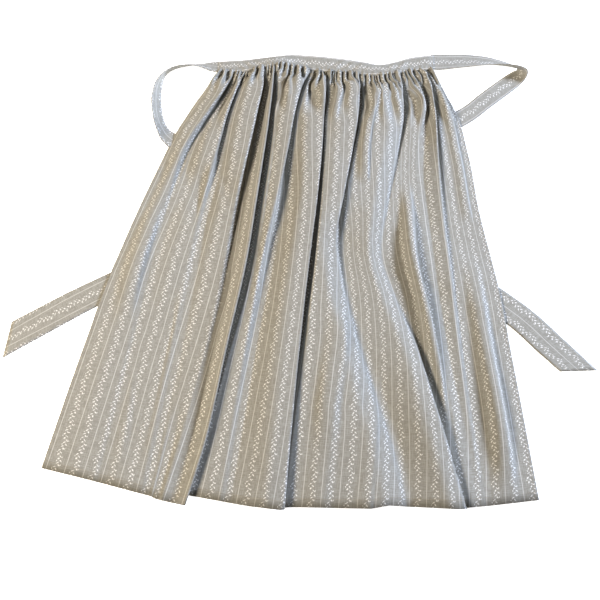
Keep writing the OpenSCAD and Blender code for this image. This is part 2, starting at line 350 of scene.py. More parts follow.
def stripe_and_vine() -> bpy.types.NodeTree:
    """Woven figure: in each repeat a thin line, then a trailing vine of small leaves.

    The vine's stem swings as a sine along the cloth. Slanted leaves stand in a row on each side of
    it, half a step apart, and each is the inside of a small turned ellipse. Lengths are in
    millimetres.
    """
    group, n, start, end = new_group(
        "stripe and vine",
        {"Cloth": ("NodeSocketVector", None), "Shift": ("NodeSocketFloat", 0.0)},
        {"Line": "NodeSocketFloat", "Leaves": "NodeSocketFloat"})
    apart = n.add("ShaderNodeSeparateXYZ")
    n.put(start.outputs["Cloth"], apart.inputs[0])
    wander = n.add("ShaderNodeTexNoise", noise_dimensions="2D")
    wander.inputs["Scale"].default_value = 420.0
    wander.inputs["Detail"].default_value = 1.0
    n.put(start.outputs["Cloth"], wander.inputs["Vector"])
    drift = n.add("ShaderNodeSeparateColor")
    n.put(wander.outputs["Color"], drift.inputs[0])
    shifted = n.maths("ADD", apart.outputs[0], start.outputs["Shift"])
    across = n.maths("MULTIPLY", shifted, 1.0 / REPEAT)
    whole = n.maths("SUBTRACT", n.maths("FRACT", n.maths("ADD", across, 0.5)), 0.5)
    line = n.ramp(n.maths("ABSOLUTE", whole), 0.012, 0.030, 1.0, 0.0)
    place = n.maths("MULTIPLY", n.maths("SUBTRACT", n.maths("FRACT", across), 0.5), REPEAT * 1000)
    along = n.maths("MULTIPLY", apart.outputs[1], 1000.0)
    nudge = [n.maths("MULTIPLY", n.maths("SUBTRACT", drift.outputs[i], 0.5), most)
             for i, most in ((0, 1.5), (1, 2.0))]
    place, along = n.maths("ADD", place, nudge[0]), n.maths("ADD", along, nudge[1])
    wave = n.maths("SINE", n.maths("MULTIPLY", along, 2 * math.pi / VINE_WAVE))
    swing = n.maths("MULTIPLY", wave, VINE_SWING)
    off = n.maths("SUBTRACT", place, swing)
    found = n.ramp(n.maths("ABSOLUTE", off), 0.15, 0.55, 0.16, 0.0)
    for side, far, step, slant, wide, long in LEAVES:
        cell = n.maths("ADD", n.maths("DIVIDE", along, step), 0.5 if side > 0 else 0.0)
        y = n.maths("MULTIPLY", n.maths("SUBTRACT", n.maths("FRACT", cell), 0.5), step)
        x = n.maths("SUBTRACT", off, side * far)
        turn, lean = math.cos(slant), math.sin(slant)
        p = n.maths("DIVIDE", n.maths("SUBTRACT", n.maths("MULTIPLY", x, turn),
                                      n.maths("MULTIPLY", y, lean)), wide)
        q = n.maths("DIVIDE", n.maths("ADD", n.maths("MULTIPLY", x, lean),
                                      n.maths("MULTIPLY", y, turn)), long)
        square = n.maths("ADD", n.maths("MULTIPLY", p, p), n.maths("MULTIPLY", q, q))
        reach = n.maths("SQRT", square)
        found = n.maths("MAXIMUM", found, n.ramp(reach, 0.75, 1.12, 1.0, 0.0))
    n.put(line, end.inputs["Line"])
    n.put(found, end.inputs["Leaves"])
    return group


def plain_weave() -> bpy.types.NodeTree:
    """Plain weave: noises stretched along the warp and the weft, and a broad slow tone change."""
    group, n, start, end = new_group(
        "plain weave", {"Cloth": ("NodeSocketVector", None)},
        {"Threads": "NodeSocketFloat", "Tone": "NodeSocketFloat"})
    found = []
    for stretch, scale in (((1.0, 0.12, 1.0), 620.0), ((0.12, 1.0, 1.0), 620.0),
                           ((1.0, 1.0, 1.0), 22.0)):
        turn = n.add("ShaderNodeMapping")
        turn.inputs["Scale"].default_value = stretch
        n.put(start.outputs["Cloth"], turn.inputs["Vector"])
        noise = n.add("ShaderNodeTexNoise", noise_dimensions="2D")
        noise.inputs["Scale"].default_value = scale
        noise.inputs["Detail"].default_value = 1.0
        n.put(turn.outputs[0], noise.inputs["Vector"])
        found.append(noise.outputs[0])
    n.put(n.maths("MULTIPLY", n.maths("ADD", found[0], found[1]), 0.5), end.inputs["Threads"])
    n.put(found[2], end.inputs["Tone"])
    return group


@dataclass(frozen=True)
class WovenCotton:
    """Fine taupe cotton with pale figured stripes."""

    name: str = "woven cotton"
    ground: tuple[float, float, float] = (0.378, 0.370, 0.334)
    shade: tuple[float, float, float] = (0.300, 0.290, 0.256)
    mark: tuple[float, float, float] = (0.80, 0.785, 0.75)
    shift: float = 0.0
    line_share: float = 0.48
    leaf_share: float = 0.92
    roughness: float = 0.86

    def build(self, figure: bpy.types.NodeTree, weave: bpy.types.NodeTree) -> bpy.types.Material:
        """Build the material on the piece's own cloth coordinates.

        Args:
            figure: the stripe and vine group.
            weave: the plain weave group.

        Returns:
            The material.
        """
        made = bpy.data.materials.new(self.name)
        made.use_nodes = True
        n = Nodes(made.node_tree)
        shader = made.node_tree.nodes["Principled BSDF"]
        cloth = n.add("ShaderNodeUVMap", uv_map="cloth").outputs[0]
        stripe = n.add("ShaderNodeGroup", node_tree=figure)
        n.put(cloth, stripe.inputs["Cloth"])
        stripe.inputs["Shift"].default_value = self.shift
        threads = n.add("ShaderNodeGroup", node_tree=weave)
        n.put(cloth, threads.inputs["Cloth"])
        ground, shade, mark = (*self.ground, 1), (*self.shade, 1), (*self.mark, 1)
        base = n.blend(n.ramp(threads.outputs["Threads"], 0.36, 0.64), shade, ground)
        base = n.blend(n.ramp(threads.outputs["Tone"], 0.3, 0.7, 0.0, 0.16), base, shade)
        for part, share in (("Line", self.line_share), ("Leaves", self.leaf_share)):
            base = n.blend(n.maths("MULTIPLY", stripe.outputs[part], share), base, mark)
        n.put(base, shader.inputs["Base Color"])
        rough = n.ramp(threads.outputs["Threads"], 0.3, 0.7, self.roughness + 0.05,
                       self.roughness - 0.05)
        n.put(rough, shader.inputs["Roughness"])
        height = n.maths("ADD", n.maths("MULTIPLY", threads.outputs["Threads"], 0.6),
                         n.maths("MULTIPLY", stripe.outputs["Leaves"], 0.5))
        bump = n.add("ShaderNodeBump")
        bump.inputs["Strength"].default_value = 0.35
        bump.inputs["Distance"].default_value = 0.0003
        n.put(height, bump.inputs["Height"])
        n.put(bump.outputs[0], shader.inputs["Normal"])
        shader.inputs["Sheen Weight"].default_value = 0.12
        shader.inputs["Sheen Roughness"].default_value = 0.6
        shader.inputs["Specular IOR Level"].default_value = 0.25
        return made


@dataclass(frozen=True)
class SewingThread:
    """Spun cotton thread, with a fine twist."""

    name: str = "sewing thread"
    light: tuple[float, float, float] = (0.70, 0.66, 0.58)
    dark: tuple[float, float, float] = (0.50, 0.46, 0.39)

    def build(self) -> bpy.types.Material:
        """Build the material on object coordinates."""
        made = bpy.data.materials.new(self.name)
        made.use_nodes = True
        n = Nodes(made.node_tree)
        shader = made.node_tree.nodes["Principled BSDF"]
        where = n.add("ShaderNodeTexCoord").outputs["Object"]
        twist = n.add("ShaderNodeTexWave", wave_type="BANDS", bands_direction="DIAGONAL")
        twist.inputs["Scale"].default_value = 700.0
        twist.inputs["Distortion"].default_value = 1.5
        n.put(where, twist.inputs["Vector"])
        colour = n.blend(twist.outputs["Fac"], (*self.dark, 1), (*self.light, 1))
        n.put(colour, shader.inputs["Base Color"])
        bump = n.add("ShaderNodeBump")
        bump.inputs["Strength"].default_value = 0.4
        bump.inputs["Distance"].default_value = 0.0002
        n.put(twist.outputs["Fac"], bump.inputs["Height"])
        n.put(bump.outputs[0], shader.inputs["Normal"])
        shader.inputs["Roughness"].default_value = 0.7
        return made


class Wardrobe:
    """Every finish of the apron, built once."""

    def __init__(self) -> None:
        """Build the shared groups and the materials."""
        figure, weave = stripe_and_vine(), plain_weave()
        self.skirt, self.band, self.left_tie, self.right_tie, self.inside = (
            cotton.build(figure, weave) for cotton in (
                WovenCotton("skirt cotton", shift=-0.0072),
                WovenCotton("waistband cotton", shift=0.015, line_share=0.75),
                WovenCotton("left tie cotton"),
                WovenCotton("right tie cotton", shift=0.015),
                WovenCotton("turned hem cotton", leaf_share=0.35, line_share=0.25)))
        self.thread = SewingThread().build()
        self.matching = SewingThread("matching thread", (0.46, 0.40, 0.32),
                                     (0.36, 0.31, 0.24)).build()

    def dress(self, piece: bpy.types.Object, material: bpy.types.Material) -> None:
        """Give a piece one material."""
        piece.data.materials.clear()
        piece.data.materials.append(material)


# ---------------------------------------------------------------- waistband


@dataclass
class Waistband:
    """The folded strip that holds the gathers, in a shallow wave and tilted where it is narrow."""

    ends: tuple[float, float] = (-0.227, 0.227)
    thickness: float = 0.0052
    # X, lower edge Y, lower edge Z, upper edge Y, in millimetres
    lie: list = field(default_factory=lambda: [
        (-227, -10, 15, 26), (-174, -8, 13, 30), (-126, 1, 17, 37), (-103, 4.5, 20, 40),
        (-86, 6, 16, 43), (-65, 5, 8, 44), (-40, 3, 5, 42), (0, -2, 5, 38), (49, -8.5, 6, 31),
        (81, -15, 12, 24.5), (112, -18.5, 15, 18), (148, -11, 12.5, 26), (175, -4, 7.5, 35),
        (227, 5.5, 5, 43.5)])

    def edge(self, x: np.ndarray) -> tuple[np.ndarray, np.ndarray]:
        """The lower and the upper edge's points at X places, in metres."""
        at = [row[0] * MM for row in self.lie]
        low_y, low_z, up_y = (through(at, [row[i] * MM for row in self.lie], x) for i in (1, 2, 3))
        return (np.stack([x, low_y, low_z], axis=-1),
                np.stack([x, up_y, np.full_like(x, 0.0038)], axis=-1))

    def build(self, wardrobe: Wardrobe) -> bpy.types.Object:
        """Build the band as a flattened tube.

        A point at angle a round the tube lies between the edges at (1 - cos a) / 2, and stands off
        the middle sheet by half the thickness times the 0.55 power of sin a. Slanting drag lines,
        puckers over the gathers and a slow waver are added to the upper face, as sines inside soft
        windows.
        """
        rows, cols = 300, 36
        x = np.linspace(*self.ends, rows)
        low, up = self.edge(x)
        turn = np.linspace(0, 2 * math.pi, cols, endpoint=False)
        share = (1 - np.cos(turn)) / 2
        off = np.sign(np.sin(turn)) * np.abs(np.sin(turn)) ** 0.55
        middle = low[:, None] + (up - low)[:, None] * share[None, :, None]
        along = np.gradient(middle, axis=0)
        normal = unit(np.cross(along, (up - low)[:, None]))
        close = 0.45 + 0.55 * ease(np.minimum(x - x[0], x[-1] - x) / 0.012)
        s, c = np.meshgrid(x, share, indexing="ij")
        drag = (bell((s + 0.088) / 0.055) * np.sin((s * 0.80 - c * 0.052) * 2 * math.pi / 0.0150)
                + bell((s - 0.045) / 0.06) * np.sin((s * 0.85 - c * 0.034) * 2 * math.pi / 0.0190)
                + 0.6 * bell((s + 0.165) / 0.05) * np.sin((s + c * 0.03) * 2 * math.pi / 0.021)
                + 0.6 * bell((s - 0.150) / 0.05) * np.sin((s - c * 0.02) * 2 * math.pi / 0.024))
        pucker = np.sin(s * 2 * math.pi / 0.0108 + 1.3 * np.sin(s * 90)) * bell((c - 0.04) / 0.4)
        waver = np.sin(s * 61 + 2 * c) + 0.6 * np.sin(s * 137 - 3 * c)
        rise = 0.0014 * drag * bell((c - 0.5) / 0.62) + 0.00055 * pucker + 0.0003 * waver
        face = np.where(off > 0, 1.0, 0.2)[None]
        points = middle + normal * (off[None] * self.thickness / 2 * close[:, None]
                                    + rise * face * np.abs(off)[None])[..., None]
        width = 0.037
        around = np.concatenate([share[: cols // 2 + 1], 2 - share[cols // 2 + 1:]]) * width
        cloth = np.stack([np.broadcast_to(around - width / 2, (rows, cols)),
                          np.broadcast_to(x[:, None], (rows, cols))], axis=-1)
        piece = grid_mesh("waistband_cloth", points, cloth, ring=True)
        wardrobe.dress(piece, wardrobe.band)
        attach(piece, "waistband")
        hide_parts("waistband")
        return piece

    def topstitch(self, wardrobe: Wardrobe) -> bpy.types.Object:
        """Sew the row of stitches just above the band's lower edge."""
        x = np.linspace(self.ends[0] + 0.004, self.ends[1] - 0.004, 500)
        low, up = self.edge(x)
        span = unit(up - low)
        normal = unit(np.cross(np.gradient(low, axis=0), span))
        path = low + span * 0.0026 + normal * (self.thickness / 2 * 0.86)
        piece = stitches_along("waistband_topstitch", path, normal, 0.0028, 0.0006)
        wardrobe.dress(piece, wardrobe.thread)
        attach(piece, "waistband")
        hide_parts("waistband_topstitching")
        return piece

    def tie_seam(self, wardrobe: Wardrobe, side: int) -> bpy.types.Object:
        """Sew the short row that holds a tie in one end of the band."""
        node = "left_tie_seam" if side < 0 else "right_tie_seam"
        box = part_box(node)
        x = np.full(60, (box[0][0] + box[1][0]) / 2)
        low, up = self.edge(x)
        share = np.linspace(0.08, 0.92, 60)[:, None]
        normal = unit(np.cross(np.array([[1.0, 0, 0]]), up - low))
        path = low + (up - low) * share + normal * self.thickness * 0.47 * 0.8
        piece = stitches_along(f"{node}_stitches", path, normal, 0.0030, 0.00055)
        wardrobe.dress(piece, wardrobe.thread)
        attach(piece, "waistband")
        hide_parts(node)
        return piece


# ---------------------------------------------------------------- skirt


@dataclass(frozen=True)
class Pleat:
    """One deep fold that runs from the gathers towards the hem.

    All lists run over the shares of the skirt's length in `down`. `edge` is where its edge lies
    across the apron and `cloth` which place of the flat cloth is folded there, in millimetres.
    `hidden` is how much cloth it hides, `turn` how far its edge turns over, in radians, `crest` the
    slope of the shoulder before its edge, `back` the slope at which the cloth climbs out beyond it
    and `gape` the width of its floor.
    """

    name: str
    down: tuple[float, ...]
    edge: tuple[float, ...]
    cloth: tuple[float, ...]
    hidden: tuple[float, ...]
    turn: tuple[float, ...]
    crest: tuple[float, ...]
    back: tuple[float, ...]
    gape: tuple[float, ...]


PLEATS = (
    Pleat("outer left", (0, 0.03, 0.06, 0.115, 0.226, 0.35, 0.5, 0.7, 1.0),
          (-193, -202, -213, -237, -285, -312, -335, -360, -398),
          (71, 58, 48, 46, 38, 44, 62, 72, 84),
          (14, 26, 30, 28, 18, 10, 8, 8, 8),
          (1.2, 1.9, 2.0, 1.9, 1.5, 0.7, 0.4, 0.35, 0.3),
          (0.1, 0.3, 0.35, 0.4, 0.35, 0.2, 0.15, 0.15, 0.1),
          (0.9, 1.0, 1.0, 0.9, 0.5, 0.1, 0, 0, 0),
          (0, 1, 1.5, 2, 1, 0, 0, 0, 0)),
    Pleat("inner left", (0, 0.03, 0.06, 0.115, 0.226, 0.35, 0.5, 0.7, 1.0),
          (-171, -178, -186, -200, -219, -242, -262, -284, -318),
          (119, 112, 107, 112, 119, 126, 136, 150, 164),
          (14, 28, 36, 32, 24, 10, 8, 8, 8),
          (1.2, 2.0, 2.1, 2.1, 2.0, 0.8, 0.4, 0.4, 0.3),
          (0.1, 0.3, 0.35, 0.4, 0.35, 0.2, 0.15, 0.15, 0.1),
          (0.9, 1.2, 1.2, 1.1, 0.9, 0.1, 0, 0, 0),
          (0, 1, 1, 1, 0.5, 0, 0, 0, 0)),
    Pleat("beside first", (0, 0.03, 0.06, 0.115, 0.226, 0.35, 0.5, 0.7, 0.85, 1.0),
          (-131, -132, -133, -141, -157, -176, -194, -222, -250, -282),
          (203, 199, 197, 200, 196, 195, 196, 203, 210, 214),
          (14, 26, 34, 30, 28, 20, 12, 8, 8, 8),
          (1.2, 1.8, 1.9, 1.8, 1.7, 1.3, 0.9, 0.5, 0.3, 0.3),
          (0.1, 0.3, 0.35, 0.35, 0.35, 0.3, 0.25, 0.2, 0.1, 0.1),
          (0.9, 1.0, 1.0, 0.9, 0.7, 0.3, 0.1, 0, 0, 0),
          (0, 1, 1, 1, 2, 2, 0, 0, 0, 0)),
    Pleat("first", (0, 0.03, 0.06, 0.115, 0.226, 0.35, 0.53, 0.69, 0.89, 1.0),
          (-109, -111, -113, -116, -125, -137, -157, -183, -215, -242),
          (251, 251, 251, 251, 251, 251, 251, 251, 252, 252),
          (14, 30, 40, 44, 50, 52, 50, 44, 36, 30),
          (1.2, 1.7, 1.7, 1.7, 1.7, 1.75, 1.8, 2.0, 2.5, 2.7),
          (0.1, 0.3, 0.35, 0.4, 0.4, 0.4, 0.45, 0.5, 0.5, 0.4),
          (1.0, 1.3, 1.3, 1.3, 1.3, 1.3, 1.2, 0.9, 0.3, 0),
          (0, 1, 3, 6, 7, 7, 5, 3, 1, 0)),
    Pleat("middle left", (0, 0.03, 0.06, 0.125, 0.245, 0.35, 0.5, 0.63, 0.8, 1.0),
          (-36, -44, -52, -65, -81, -97, -124, -142, -164, -186),
          (398, 378, 360, 350, 343, 337, 323, 322, 330, 340),
          (14, 30, 38, 42, 40, 34, 26, 18, 12, 8),
          (1.2, 1.9, 2.0, 2.05, 2.0, 1.5, 1.0, 0.8, 0.5, 0.3),
          (0.1, 0.3, 0.35, 0.4, 0.4, 0.4, 0.35, 0.3, 0.2, 0.1),
          (0.9, 1.1, 1.1, 1.1, 0.8, 0.4, 0.1, 0, 0, 0),
          (0, 1, 1.5, 2, 2, 1, 0, 0, 0, 0)),
    Pleat("second", (0, 0.03, 0.06, 0.115, 0.226, 0.35, 0.53, 0.69, 0.89, 1.0),
          (-2, -4, -5, -8, -14, -24, -43, -58, -74, -82),
          (470, 464, 458, 452, 446, 436, 431, 432, 438, 446),
          (14, 28, 38, 48, 56, 62, 60, 54, 48, 40),
          (1.2, 1.7, 1.7, 1.7, 1.7, 1.7, 1.72, 1.85, 2.4, 2.7),
          (0.1, 0.25, 0.3, 0.35, 0.35, 0.35, 0.35, 0.4, 0.4, 0.3),
          (1.0, 1.3, 1.3, 1.35, 1.4, 1.4, 1.4, 1.2, 0.6, 0.1),
          (0, 1, 1.5, 2, 4, 8, 9, 4, 2, 1)),
    Pleat("third", (0, 0.03, 0.06, 0.115, 0.226, 0.35, 0.45, 0.53, 0.69, 0.82, 0.92, 1.0),
          (67, 66, 64, 61, 46, 26, 11, 17, 45, 76, 100, 113),
          (618, 608, 597, 581, 565, 551, 541, 552, 592, 635, 665, 685),
          (14, 26, 36, 44, 48, 40, 26, 18, 16, 15, 12, 10),
          (1.2, 1.7, 1.7, 1.7, 1.72, 1.7, 1.1, 0.9, 0.85, 0.8, 0.7, 0.6),
          (0.1, 0.3, 0.35, 0.35, 0.35, 0.35, 0.4, 0.5, 0.55, 0.5, 0.4, 0.35),
          (1.0, 1.3, 1.3, 1.35, 1.3, 0.9, 0.2, 0, 0, 0, 0, 0),
          (0, 1, 3, 6, 5, 3, 1, 0, 0, 0, 0, 0)),
    Pleat("fourth", (0, 0.03, 0.06, 0.115, 0.226, 0.35, 0.48, 0.57, 0.69, 0.8, 0.9, 1.0),
          (152, 152, 152, 151, 132, 108, 90, 112, 150, 172, 193, 213),
          (797, 780, 762, 746, 726, 698, 683, 688, 724, 749, 774, 800),
          (14, 28, 34, 30, 20, 15, 14, 17, 26, 36, 40, 34),
          (1.2, 1.8, 1.8, 1.2, 0.8, 0.6, 0.5, 0.5, 0.9, 1.7, 2.4, 2.6),
          (0.1, 0.35, 0.4, 0.4, 0.35, 0.35, 0.35, 0.35, 0.4, 0.45, 0.5, 0.4),
          (0.9, 1.1, 1.1, 0.8, 0.3, 0.1, 0, 0, 0.1, 0.3, 0.3, 0.1),
          (0, 1, 2, 1, 0, 0, 0, 0, 1, 2, 2, 1)),
    Pleat("flap", (0, 0.03, 0.06, 0.1, 0.16, 0.25, 0.4, 0.57, 0.8, 1.0),
          (178, 184, 192, 200, 186, 172, 175, 184, 202, 226),
          (856, 842, 836, 832, 820, 810, 808, 808, 821, 852),
          (14, 24, 24, 16, 8, 6, 6, 6, 6, 6),
          (1.2, 2.0, 2.1, 1.4, 0.5, 0.2, 0.1, 0.1, 0.1, 0.1),
          (0.1, 0.3, 0.35, 0.3, 0.1, 0, 0, 0, 0, 0),
          (0.9, 0.9, 0.8, 0.4, 0, 0, 0, 0, 0, 0),
          (0, 1, 1, 0, 0, 0, 0, 0, 0, 0)),
    Pleat("fifth", (0, 0.03, 0.06, 0.115, 0.226, 0.35, 0.53, 0.69, 0.85, 1.0),
          (207, 210, 213, 216, 216, 216, 221, 226, 233, 243),
          (918, 900, 886, 866, 854, 850, 848, 847, 850, 870),
          (12, 22, 28, 27, 22, 17, 14, 12, 10, 8),
          (1.2, 1.7, 1.75, 1.7, 1.4, 1.1, 0.9, 0.7, 0.5, 0.3),
          (0.1, 0.3, 0.35, 0.35, 0.35, 0.35, 0.3, 0.3, 0.2, 0.1),
          (0.9, 1.0, 0.9, 0.7, 0.5, 0.2, 0, 0, 0, 0),
          (0, 1, 3, 3, 2, 0, 0, 0, 0, 0)),
)


@dataclass(frozen=True)
class Crease:
    """A lesser fold: the cloth rises gently to its line, then drops more steeply beyond it.

    `cloth` and `strength` run over the shares of the skirt's length in `down`. `rise` and `fall`
    are the lengths of its two slopes in millimetres.
    """

    down: tuple[float, ...]
    cloth: tuple[float, ...]
    strength: tuple[float, ...]
    rise: float = 34.0
    fall: float = 12.0


CREASES = (
    Crease((0, 0.05, 0.12, 0.2), (22, 20, 20, 18), (0, 0.5, 0.6, 0.0)),
    Crease((0.03, 0.08, 0.16, 0.25), (170, 168, 166, 164), (0, 0.9, 0.8, 0.0)),
    Crease((0, 0.03, 0.08, 0.16), (540, 536, 530, 524), (0.2, 0.9, 0.8, 0.0)),
    Crease((0, 0.03, 0.1, 0.2, 0.3), (700, 690, 668, 655, 650), (0.2, 0.9, 1.1, 0.9, 0.2)),
    Crease((0, 0.04, 0.1, 0.2, 0.4), (944, 938, 934, 930, 930), (0.2, 0.8, 0.6, 0.4, 0.2)),
    Crease((0.2, 0.3, 0.5, 0.62, 0.8, 1.0), (45, 45, 47, 57, 98, 116),
           (0, 0.8, 0.9, 1.0, 0.9, 0.5), 44, 24),
    Crease((0.26, 0.34, 0.45, 0.57, 0.66), (139, 150, 180, 210, 216), (0, 0.9, 1.0, 0.8, 0), 44, 22),
    Crease((0.55, 0.75, 0.9, 1.0), (160, 170, 176, 180), (0, 0.7, 0.7, 0.5), 40, 26),
    Crease((0.6, 0.75, 0.9, 1.0), (560, 552, 548, 546), (0, 0.6, 0.8, 0.6), 40, 26),
    Crease((0.75, 0.85, 1.0), (640, 630, 624), (0, 0.9, 0.9), 30, 12),
    Crease((0.3, 0.5, 0.7, 1.0), (780, 770, 790, 820), (0, 0.8, 0.5, 0.0), 40, 24),
    Crease((0.5, 0.7, 0.9, 1.0), (910, 908, 912, 916), (0, 0.4, 0.6, 0.5), 40, 26),
)


@dataclass
class Skirt:
    """The gathered skirt: one flat-cut width of cloth, drawn up at the waist and laid out below."""

    band: Waistband
    cut_width: float = 0.96
    cut_length: float = 0.885
    rows: int = 96
    columns: int = 500
    bend: float = 0.0068
    thickness: float = 0.0006
    gathers: int = 46
    steepest: float = 1.7
    fall_share: float = 0.55  # of a fold's hidden cloth, the part under its edge
    climb_share: float = 0.36  # and the part that climbs out beyond it
    held_share: float = 0.35  # how far a shallow fold is held up by the deeper ones beside it
    clearance: float = 0.0022
    limit: float = 0.017  # folds higher than this are pressed down softly
    limit_room: float = 0.011
    left_down: tuple = (0, 0.05, 0.14, 0.25, 0.38, 0.55, 0.75, 1.0)
    left_x: tuple = (-225, -253, -291, -326, -362, -403, -442, -486)
    right_x: tuple = (225, 240, 266, 281, 289, 308, 322, 337)
    hem_cloth: tuple = (0, 82, 158, 252, 262, 284, 388, 440, 470, 500, 630, 660, 710, 785, 815,
                        845, 880, 960)
    hem_y: tuple = (-806, -826, -845, -866, -857, -849, -867, -873, -870, -868, -871, -866, -868,
                    -872, -870, -869, -866, -857)

    def down_shares(self) -> np.ndarray:
        """Shares of the length for the rows: close together by the gathers, then wider apart."""
        t = np.linspace(0, 1, self.rows)
        return -0.008 + 1.008 * (0.30 * t + 0.70 * t**2.2)

    def settle(self, down: np.ndarray,
               count: int = 2401) -> tuple[np.ndarray, np.ndarray, np.ndarray]:
        """Work out each row of the skirt as the path of its cloth.

        In a row, the cloth's slope angle p is the sum of the deep folds' turns, their shoulders and
        an amount A of the gathers and lesser folds, whose slope stays under `steepest`. Its X is the
        integral of cos p along the cloth and its Z the integral of sin p. In each panel between deep
        folds, A is found by halving so that the panel is as wide as it has to be. Heights are then
        measured from the feet of the deep folds, less a share for a fold held up by its neighbours.

        Args:
            down: the shares of the length of the rows.
            count: how many fine steps are taken across the cloth.

        Returns:
            The fine cloth places, and X and Z for every row and place.
        """
        s = np.linspace(0, self.cut_width, count)
        ds = s[1] - s[0]
        v = np.clip(down, 0, 1)
        rows = len(v)

        def of_folds(what: str) -> np.ndarray:
            """One list of every deep fold at the rows, rows by folds."""
            return np.stack([through(p.down, getattr(p, what), v) for p in PLEATS], axis=1)

        edge, turn, back, crest = (of_folds(k) for k in ("edge", "turn", "back", "crest"))
        left = through(list(self.left_down), list(self.left_x), v) * MM
        right = through(list(self.left_down), list(self.right_x), v) * MM
        start = of_folds("cloth") * MM
        grown = ease(v / 0.05)[:, None]
        bend = self.bend * (0.35 + 0.65 * grown)
        hidden = of_folds("hidden") * MM * (0.4 + 0.6 * grown)
        fall, climb = hidden * self.fall_share, hidden * self.climb_share
        floor = of_folds("gape") * MM
        foot = start + fall + floor + bend * 0.5
        leave = foot + climb + bend
        fixed = np.zeros((rows, count))
        for k in range(len(PLEATS)):
            past = s[None] - start[:, k:k + 1]
            first, second = ease(past / bend), ease((past - fall[:, k:k + 1]) / bend)
            rising = s[None] - foot[:, k:k + 1]
            up, third = ease(rising / bend), ease((rising - climb[:, k:k + 1]) / bend)
            shoulder = ease((past + 0.040) / 0.020)
            fixed -= turn[:, k:k + 1] * (first - second)
            fixed += back[:, k:k + 1] * (up - third)
            fixed -= crest[:, k:k + 1] * (shoulder - first)
        rng = np.random.default_rng(7)
        knots = np.concatenate([[0.0], np.cumsum(rng.uniform(0.55, 1.55, self.gathers))])
        turns = 2 * math.pi * np.interp(s, knots / knots[-1] * self.cut_width,
                                        np.arange(self.gathers + 1.0))
        fade_at = np.linspace(0, self.cut_width, 90)
        fade = np.interp(s, fade_at, rng.uniform(0.022, 0.092, 90))
        depth = np.interp(s, fade_at, rng.uniform(0.7, 1.3, 90))
        below = v[:, None] * self.cut_length
        wave = np.sin(turns) * depth * (1 - ease((below - 0.35 * fade) / fade))
        wide = turns * 21 / self.gathers + 1.0
        wave += 0.40 * np.sin(wide)[None] * ease(below / 0.03) * (1 - ease((below - 0.05) / 0.10))
        for c in CREASES:
            at = through(list(c.down), list(c.cloth), v)[:, None] * MM
            reached = (v >= c.down[0]) & ((v <= c.down[-1]) | (c.down[-1] >= 1.0))
            much = np.maximum(through(list(c.down), list(c.strength), v) * reached, 0)[:, None]
            up = bell((s[None] - at + c.rise * MM / 2) / (c.rise * MM / 2))
            drop = bell((s[None] - at - c.fall * MM / 2) / (c.fall * MM / 2))
            wave += much * 0.62 * (up * c.fall / c.rise - drop)
        opening = np.concatenate([np.zeros((rows, 1)), leave], axis=1)
        ending = np.concatenate([start, np.full((rows, 1), self.cut_width)], axis=1)
        panel = np.sum(s >= leave[..., None], axis=1)
        here_open, here_end = taken(opening, panel), taken(ending, panel)
        wave *= ease((s - here_open + 0.002) / 0.004) * ease((here_end + 0.003 - s) / 0.006)
        targets = np.concatenate([left[:, None], edge * MM, right[:, None]], axis=1)

        def read(table: np.ndarray, places: np.ndarray) -> np.ndarray:
            """Values of each row of a table at that row's places."""
            at = np.clip(places / ds, 0, count - 1.001)
            low = at.astype(int)
            part = at - low
            return taken(table, low) * (1 - part) + taken(table, low + 1) * part

        def path(rate: np.ndarray) -> np.ndarray:
            """The sum of a rate along the cloth, from its left edge."""
            return running(rate[:, 1:] * ds)

        def slope_of(amount: np.ndarray) -> np.ndarray:
            """The slope angle for an amount of the gathers and lesser folds."""
            return fixed + self.steepest * np.tanh(wave * amount / self.steepest)

        base = path(np.cos(fixed))
        fold_run = np.pad(read(base, leave) - read(base, start), ((0, 0), (1, 0)))
        want = np.diff(targets, axis=1) - fold_run
        low, high = np.zeros(want.shape), np.full(want.shape, 4.0)
        for _ in range(16):
            mid = (low + high) / 2
            run = path(np.cos(slope_of(taken(mid, panel))))
            got = read(run, ending) - read(run, opening)
            low, high = np.where(got > want, mid, low), np.where(got > want, high, mid)
        amount = taken((low + high) / 2, panel)
        for _ in range(3):
            amount[1:-1] = (amount[:-2] + 2 * amount[1:-1] + amount[2:]) / 4
        slope = slope_of(amount)
        x, z = path(np.cos(slope)), path(np.sin(slope))

        def between(table: np.ndarray, which: np.ndarray, share: np.ndarray) -> np.ndarray:
            """Values that run from one entry of a row's table to the next."""
            return taken(table, which) * (1 - share) + taken(table, which + 1) * share

        marks = np.pad(start, ((0, 0), (1, 1)))
        marks[:, -1] = self.cut_width
        part = np.sum(s >= start[..., None], axis=1)
        before, after = taken(marks, part), taken(marks, part + 1)
        x += between(targets - read(x, marks), part, np.clip((s - before) / (after - before), 0, 1))
        drop = np.pad(read(z, start) - read(z, foot), ((0, 0), (1, 1)))
        spare = np.maximum((drop[:, :-2] + drop[:, 2:]) / 2 - drop[:, 1:-1], 0)
        held = self.held_share * spare * grown
        level = np.concatenate([z[:, :1], read(z, foot) - held, z[:, -1:]], axis=1)
        z -= between(level, panel, np.clip((s - here_open) / (here_end - here_open), 0, 1))
        return s, x, z

    def lift(self, x: np.ndarray, y: np.ndarray) -> np.ndarray:
        """How far the skirt is held up by the ties under it and by the band at its seam.

        The height over a tie is level near its middle line and eases to the table beyond it.
        """
        def off(ax: float, ay: float, bx: float, by: float) -> np.ndarray:
            """Distance in plan from the stretch between two points."""
            dx, dy = bx - ax, by - ay
            t = np.clip(((x - ax) * dx + (y - ay) * dy) / (dx**2 + dy**2), 0, 1)
            return np.hypot(x - ax - t * dx, y - ay - t * dy)

